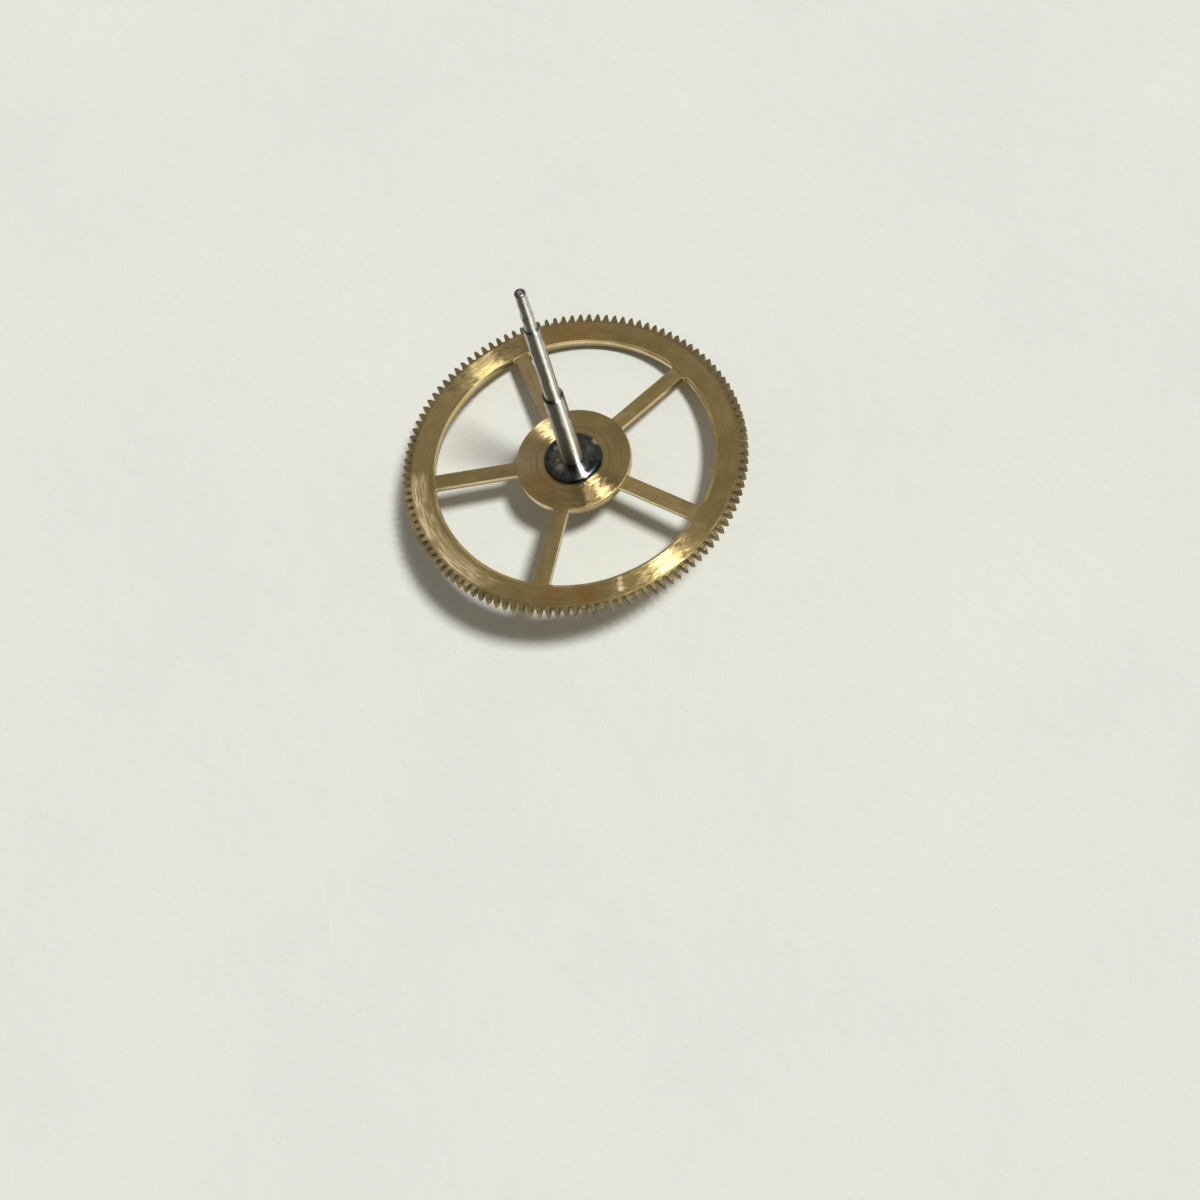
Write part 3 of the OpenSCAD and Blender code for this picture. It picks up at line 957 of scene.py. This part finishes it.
def head_steel(name):
    """The polished, then blackened end of the pinion, with lighter blotches, a chip, and some pale
    steel scratched round the axis beside the staff's foot, a painted reflection of the staff."""
    look = Look(name)
    r, wx, wy, _ = look.round_axis()
    patches = look.noise(look.place, *HEAD_PATCHES)
    rays = look.marks(wx, wy, r, *HEAD_RAY_MARKS)
    colour = look.mix(look.ramp(patches, *HEAD_PATCH_RANGE), HEAD_BLACK, HEAD_GREY)
    colour = look.mix(look.ramp(rays, *HEAD_RAY_RANGE), colour, HEAD_RAYS)
    colour = look.mix(look.ramp(r, *HEAD_BORDER_RANGE), colour, HEAD_BORDER)
    for spot in PALE_SPOTS:
        colour = look.mix(look.spot(*spot), colour, HEAD_PALE)
    for spot in DARK_SPOTS:
        colour = look.mix(look.spot(*spot), colour, HEAD_DARK)
    # The painted reflection of the staff beside its foot
    reflecting = 0.0
    for spot in STAFF_REFLECTION_ON_HEAD:
        here = look.spot(*spot)
        reflecting = look.most(reflecting, here)
        colour = look.mix(here, colour, HEAD_REFLECTING)
    height = look.plus(rays, look.times(patches, HEAD_PATCH_WEIGHT))
    return look.metal(colour, look.ramp(r, *HEAD_ROUGH), look.bump(height, HEAD_DEPTH), reflecting)


# The leaves
LEAF_MARKS = (22.0, 1.5, 3.0, 0.6)
LEAF_PATCHES = (2.0, 3.0, 0.6)
LEAF_PATCH_RANGE = (0.3, 0.7)
LEAF_ROUGH = (0.3, 0.7, 0.2, 0.36)
LEAF_DEPTH = 0.002


def leaf_steel(name):
    """The cut and hardened leaves."""
    look = Look(name)
    x, y, z = look.split(look.place)
    along = look.marks(x, y, z, *LEAF_MARKS)
    patches = look.noise(look.place, *LEAF_PATCHES)
    colour = look.mix(look.ramp(patches, *LEAF_PATCH_RANGE), LEAF_DARK, LEAF_LIGHT)
    return look.metal(colour, look.ramp(along, *LEAF_ROUGH), look.bump(along, LEAF_DEPTH))


# The staff. It has painted shade along the left of its front, and a painted brown reflection of the
# brass along the right
STAFF_RIGHT = (0.687, 0.727)
STAFF_FRONT = (0.727, -0.687)
STAFF_BORDER = (0.5, 2.2, 4.0, 0.6)
STAFF_RAGGED = 0.5
STAFF_MARKS = (1.2, 16.0, 2.0, 0.5)
STAFF_DEPTH = 0.0008
STAFF_CLOUD = (2.6, 4.0, 0.65)
CLOUD_GREY = (0.45, 0.7, 0.0, 0.6)
CLOUD_ROUGH = (0.35, 0.75, 0.33, 0.37)
STAFF_SHADE_FROM = (-0.86, -0.7)
STAFF_SHADE_TO = (-0.06, 0.12, 1.0, 0.0)
STAFF_SHADE_FRONT = (-0.1, 0.25)
STAFF_SHADE_MOST = 0.85
STAFF_SHADE_ROUGHER = 0.08
BROWN_FROM = (0.78, 0.9)
BROWN_FRONT = (-0.2, 0.1)
BROWN_BELOW = (NECK_Z - 0.1, NECK_Z, 1.0, 0.3)
BROWN_MOST = 0.8
# A dark curl of painted shade at the left of the lower shoulder, and painted shade that dulls the
# glint of the upper shoulder
HOOK_NEAR = (0.03, 0.06, 0.8, 0.0)
HOOK_LEFT = (-0.3, 0.0, 1.0, 0.0)
QUIET_NEAR = (0.02, 0.04, 0.6, 0.0)
STEP_ROUGHER = (0.02, 0.05, 0.15, 0.0)
# The end of the tip in painted shade, with a painted highlight in its middle
END_FROM = (TOP_Z - 0.075, TOP_Z - 0.04)
END_MIDDLE = (0.045, 0.07)


def staff_steel(name):
    """Polished steel with faint marks round the axis, with painted shade and a painted brown
    reflection on its sides, painted shade at two shoulders, and a painted highlight on its shaded
    end.
    """
    look = Look(name)
    r, wx, wy, z = look.round_axis()
    front = look.towards(wx, wy, STAFF_FRONT)
    border = look.marks(wx, wy, z, *STAFF_BORDER)
    right = look.shaken(look.towards(wx, wy, STAFF_RIGHT), border, STAFF_RAGGED)
    marks = look.marks(wx, wy, z, *STAFF_MARKS)
    cloud = look.noise(look.place, *STAFF_CLOUD)

    # Painted shade along the left of the front
    dark = look.times(look.ramp(right, *STAFF_SHADE_FROM), look.ramp(right, *STAFF_SHADE_TO))
    dark = look.times(dark, look.ramp(front, *STAFF_SHADE_FRONT))
    # A painted brown reflection of the brass along the right
    brown = look.times(look.ramp(right, *BROWN_FROM), look.ramp(front, *BROWN_FRONT))
    brown = look.times(brown, look.ramp(z, *BROWN_BELOW))
    # Painted shade: a dark curl at the lower shoulder
    hook = look.ramp(look.far_from(z, SHOULDER_Z), *HOOK_NEAR)
    hook = look.times(hook, look.ramp(right, *HOOK_LEFT))
    # The end: painted shade round a painted highlight
    end = look.ramp(z, *END_FROM)
    end_colour = look.mix(look.ramp(r, *END_MIDDLE), TIP_HIGHLIGHT, TIP_SHADE)

    colour = look.mix(look.ramp(cloud, *CLOUD_GREY), STEEL, STEEL_GREY)
    colour = look.mix(look.times(brown, BROWN_MOST), colour, STEEL_BRASS_REFLECTION)
    colour = look.mix(look.times(dark, STAFF_SHADE_MOST), colour, STEEL_SHADE)
    colour = look.mix(hook, colour, STEEL_HOOK)
    colour = look.mix(end, colour, end_colour)
    # Painted shade over the glint of the upper shoulder
    colour = look.mix(look.ramp(look.far_from(z, NECK_Z), *QUIET_NEAR), colour, STEEL_QUIET)

    rough = look.plus(look.ramp(cloud, *CLOUD_ROUGH), look.times(dark, STAFF_SHADE_ROUGHER))
    for step in (SHOULDER_Z, NECK_Z, STOP_Z):
        rough = look.plus(rough, look.ramp(look.far_from(z, step), *STEP_ROUGHER))
    return look.metal(colour, rough, look.bump(marks, STAFF_DEPTH), look.minus(1.0, end))


# The paper
PAPER_FIBRES = (1.3, 5.0, 0.7)
PAPER_DEPTH = 0.03
PAPER_CLOUDS = (0.12, 3.0, 0.6)
PAPER_CLOUD_RANGE = (0.3, 0.7)
PAPER_ROUGH = 0.9
PAPER_SHINE = 0.2


def paper(name):
    """Pale paper, seen from above only, so that a camera below the floor looks through it."""
    look = Look(name)
    fibres = look.noise(look.place, *PAPER_FIBRES)
    clouds = look.noise(look.place, *PAPER_CLOUDS)
    node = look.add("ShaderNodeBsdfPrincipled")
    look.link(look.mix(look.ramp(clouds, *PAPER_CLOUD_RANGE), PAPER_A, PAPER_B),
              node.inputs["Base Color"])
    node.inputs["Roughness"].default_value = PAPER_ROUGH
    node.inputs["Specular IOR Level"].default_value = PAPER_SHINE
    look.link(look.bump(fibres, PAPER_DEPTH), node.inputs["Normal"])
    path = look.add("ShaderNodeLightPath")
    side = look.add("ShaderNodeNewGeometry")
    hidden = look.times(path.outputs["Is Camera Ray"], side.outputs["Backfacing"])
    clear = look.add("ShaderNodeBsdfTransparent")
    choice = look.add("ShaderNodeMixShader")
    look.link(hidden, choice.inputs[0])
    look.link(node.outputs[0], choice.inputs[1])
    look.link(clear.outputs[0], choice.inputs[2])
    look.link(choice.outputs[0], look.out.inputs["Surface"])
    return look.material


# The pieces. Plain brass has two colours, a roughness, the scale of its marks and their depth

rim_and_hub = turned_brass("brass_turned")
walls = plain_brass("brass_cut", BRASS_PALE, BRASS, 0.26, 9.0, 0.003, painted_shade_below=WALL_SHADE_BELOW)
edges = plain_brass("brass_edge", BRASS, BRASS_DULL, 0.50, 2.5, 0.002, stain_and_shade=EDGE_GLINT_SHADE)
arms = arm_brass("brass_arm")
teeth = plain_brass("brass_teeth", TOOTH_BRASS, TOOTH_DARK, 0.50, 9.0, 0.003)

wheel = wheel_shell().make("brass_wheel", [rim_and_hub, walls, edges, arms, teeth])
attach(wheel, "root")
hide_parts("second_wheel")

pinion = pinion_shell().make("steel_pinion", [head_steel("steel_head"), leaf_steel("steel_leaves")])
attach(pinion, "root")
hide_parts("pinion")

staff = staff_shell().make("steel_staff", [staff_steel("steel_polished")])
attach(staff, "root")
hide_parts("staff")


# The paper that the part lies on, touching it with the lower pivot and the edge of the wheel

FLOOR_UP = Vector((0.0858, -0.2525, 0.9638)).normalized()
FLOOR_DROP = 0.03 * MM
FLOOR_SIZE = 0.7
FLOOR_GRID = 8
floor_mesh = bpy.data.meshes.new("paper")
floor = bpy.data.objects.new("paper", floor_mesh)
bpy.context.scene.collection.objects.link(floor)
bm = bmesh.new()
bmesh.ops.create_grid(bm, x_segments=FLOOR_GRID, y_segments=FLOOR_GRID, size=FLOOR_SIZE / 2)
bm.to_mesh(floor_mesh)
bm.free()
floor_mesh.materials.append(paper("paper"))
floor.matrix_world = FLOOR_UP.to_track_quat("Z", "Y").to_matrix().to_4x4()
floor.location = FLOOR_UP * -FLOOR_DROP


# The light: one lamp in a dim room, which is darkest on the side of the camera

ROOM_BRIGHT_SIDE = Vector((-0.45, 0.55, 0.70)).normalized()
ROOM_FROM = -0.3
ROOM_TO = 0.85
ROOM_DARK = 0.07
ROOM_LIGHT = 0.30
ROOM_COLOUR = (1.0, 0.95, 0.86, 1)
world = bpy.data.worlds.new("room")
bpy.context.scene.world = world
world.use_nodes = True
room = world.node_tree
direction = room.nodes.new("ShaderNodeTexCoord")
along = room.nodes.new("ShaderNodeVectorMath")
along.operation = "DOT_PRODUCT"
along.inputs[1].default_value = ROOM_BRIGHT_SIDE
room.links.new(direction.outputs["Generated"], along.inputs[0])
level = room.nodes.new("ShaderNodeMapRange")
level.interpolation_type = "SMOOTHSTEP"
level.inputs["From Min"].default_value = ROOM_FROM
level.inputs["From Max"].default_value = ROOM_TO
level.inputs["To Min"].default_value = ROOM_DARK
level.inputs["To Max"].default_value = ROOM_LIGHT
room.links.new(along.outputs["Value"], level.inputs["Value"])
room.nodes["Background"].inputs["Color"].default_value = ROOM_COLOUR
room.links.new(level.outputs[0], room.nodes["Background"].inputs["Strength"])

LAMP_FROM = Vector((0.4266, 0.0343, 0.9038)).normalized()
LAMP_DISTANCE = 0.2
LAMP_STRENGTH = 2.65
LAMP_ANGLE = math.radians(9)
LAMP_COLOUR = (0.985, 1.0, 0.955)
lamp_data = bpy.data.lights.new("key", "SUN")
lamp_data.energy = LAMP_STRENGTH
lamp_data.angle = LAMP_ANGLE
lamp_data.color = LAMP_COLOUR
lamp = bpy.data.objects.new("key", lamp_data)
bpy.context.scene.collection.objects.link(lamp)
lamp.matrix_world = LAMP_FROM.to_track_quat("Z", "Y").to_matrix().to_4x4()
lamp.location = LAMP_FROM * LAMP_DISTANCE


# The camera, fitted to the photograph

CAMERA_LENS = 64.0
CAMERA_SENSOR = 36
CAMERA_NEAR = 0.001
CAMERA_FAR = 10
CAMERA_AT = Vector((23.63, -22.60, 52.09)) * MM
CAMERA_RIGHT = Vector((0.8492, 0.5043, -0.1568)).normalized()
CAMERA_Z = Vector((0.3574, -0.3301, 0.8737)).normalized()
CAMERA_Y = CAMERA_Z.cross(CAMERA_RIGHT).normalized()
CAMERA_X = CAMERA_Y.cross(CAMERA_Z)
camera_data = bpy.data.cameras.new("camera")
camera_data.sensor_width = CAMERA_SENSOR
camera_data.lens = CAMERA_LENS
camera_data.clip_start = CAMERA_NEAR
camera_data.clip_end = CAMERA_FAR
camera = bpy.data.objects.new("camera", camera_data)
bpy.context.scene.collection.objects.link(camera)
turn = Matrix((CAMERA_X, CAMERA_Y, CAMERA_Z)).transposed().to_4x4()
camera.matrix_world = Matrix.Translation(CAMERA_AT) @ turn
bpy.context.scene.camera = camera

bpy.context.scene.view_settings.view_transform = "Standard"
